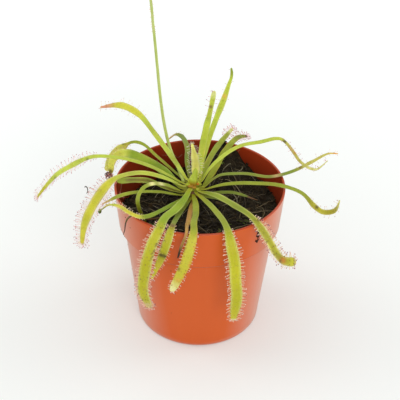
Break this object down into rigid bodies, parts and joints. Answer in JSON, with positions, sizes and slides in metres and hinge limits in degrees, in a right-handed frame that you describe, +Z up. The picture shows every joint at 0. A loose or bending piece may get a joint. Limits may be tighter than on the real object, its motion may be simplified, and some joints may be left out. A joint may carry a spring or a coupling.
{
  "type": "potted sundew",
  "caption": "Sundew with arching sticky-haired strap leaves and a tall budded flower stalk, growing from peat in a thin plastic nursery pot.",
  "frame": {"origin": "centre of the pot's flat underside, on the surface it stands on", "axes": "+Z up along the pot's axis, -Y toward the viewer at the plant's front, +X to the viewer's right"},
  "size_m": [0.1683, 0.1072, 0.2306],
  "materials": {
    "pot_plastic": "satin",
    "peat": "matte",
    "crown_stem": "satin",
    "leaf_green": "satin",
    "leaf_dried": "matte",
    "stalk_green": "satin",
    "bud_green": "satin"
  },
  "bodies": {
    "root": {"pot": "pot_plastic", "soil": "peat", "crown": "crown_stem", "leaf_far_left": "leaf_green", "leaf_tall_left": "leaf_green", "leaf_back_loop": "leaf_green", "leaf_back_wide": "leaf_green", "leaf_left_arch": "leaf_green", "leaf_left_folded": "leaf_green", "leaf_left_hooked": "leaf_green", "leaf_left_low": "leaf_green", "leaf_left_spent": "leaf_green", "leaf_left_dried": "leaf_dried", "leaf_front_left": "leaf_green", "leaf_front_left_inner": "leaf_green", "leaf_front_old": "leaf_dried", "leaf_front_centre": "leaf_green", "leaf_front_right": "leaf_green", "leaf_right_front": "leaf_green", "leaf_right_under": "leaf_green", "leaf_right_short": "leaf_green", "leaf_right_curled": "leaf_green", "leaf_right_upper": "leaf_green", "leaf_back_right_arch": "leaf_green", "leaf_upright_short": "leaf_green", "leaf_upright_tall": "leaf_green", "leaf_centre_young": "leaf_green", "leaf_back_low": "leaf_green", "leaf_back_right_low": "leaf_green", "leaf_back_right_dark": "leaf_green", "flower_stalk": "stalk_green", "flower_bud_1": "bud_green", "flower_bud_2": "bud_green", "flower_bud_3": "bud_green", "flower_bud_4": "bud_green", "flower_bud_5": "bud_green", "flower_bud_6": "bud_green", "flower_bud_7": "bud_green"}
  },
  "joints": []
}
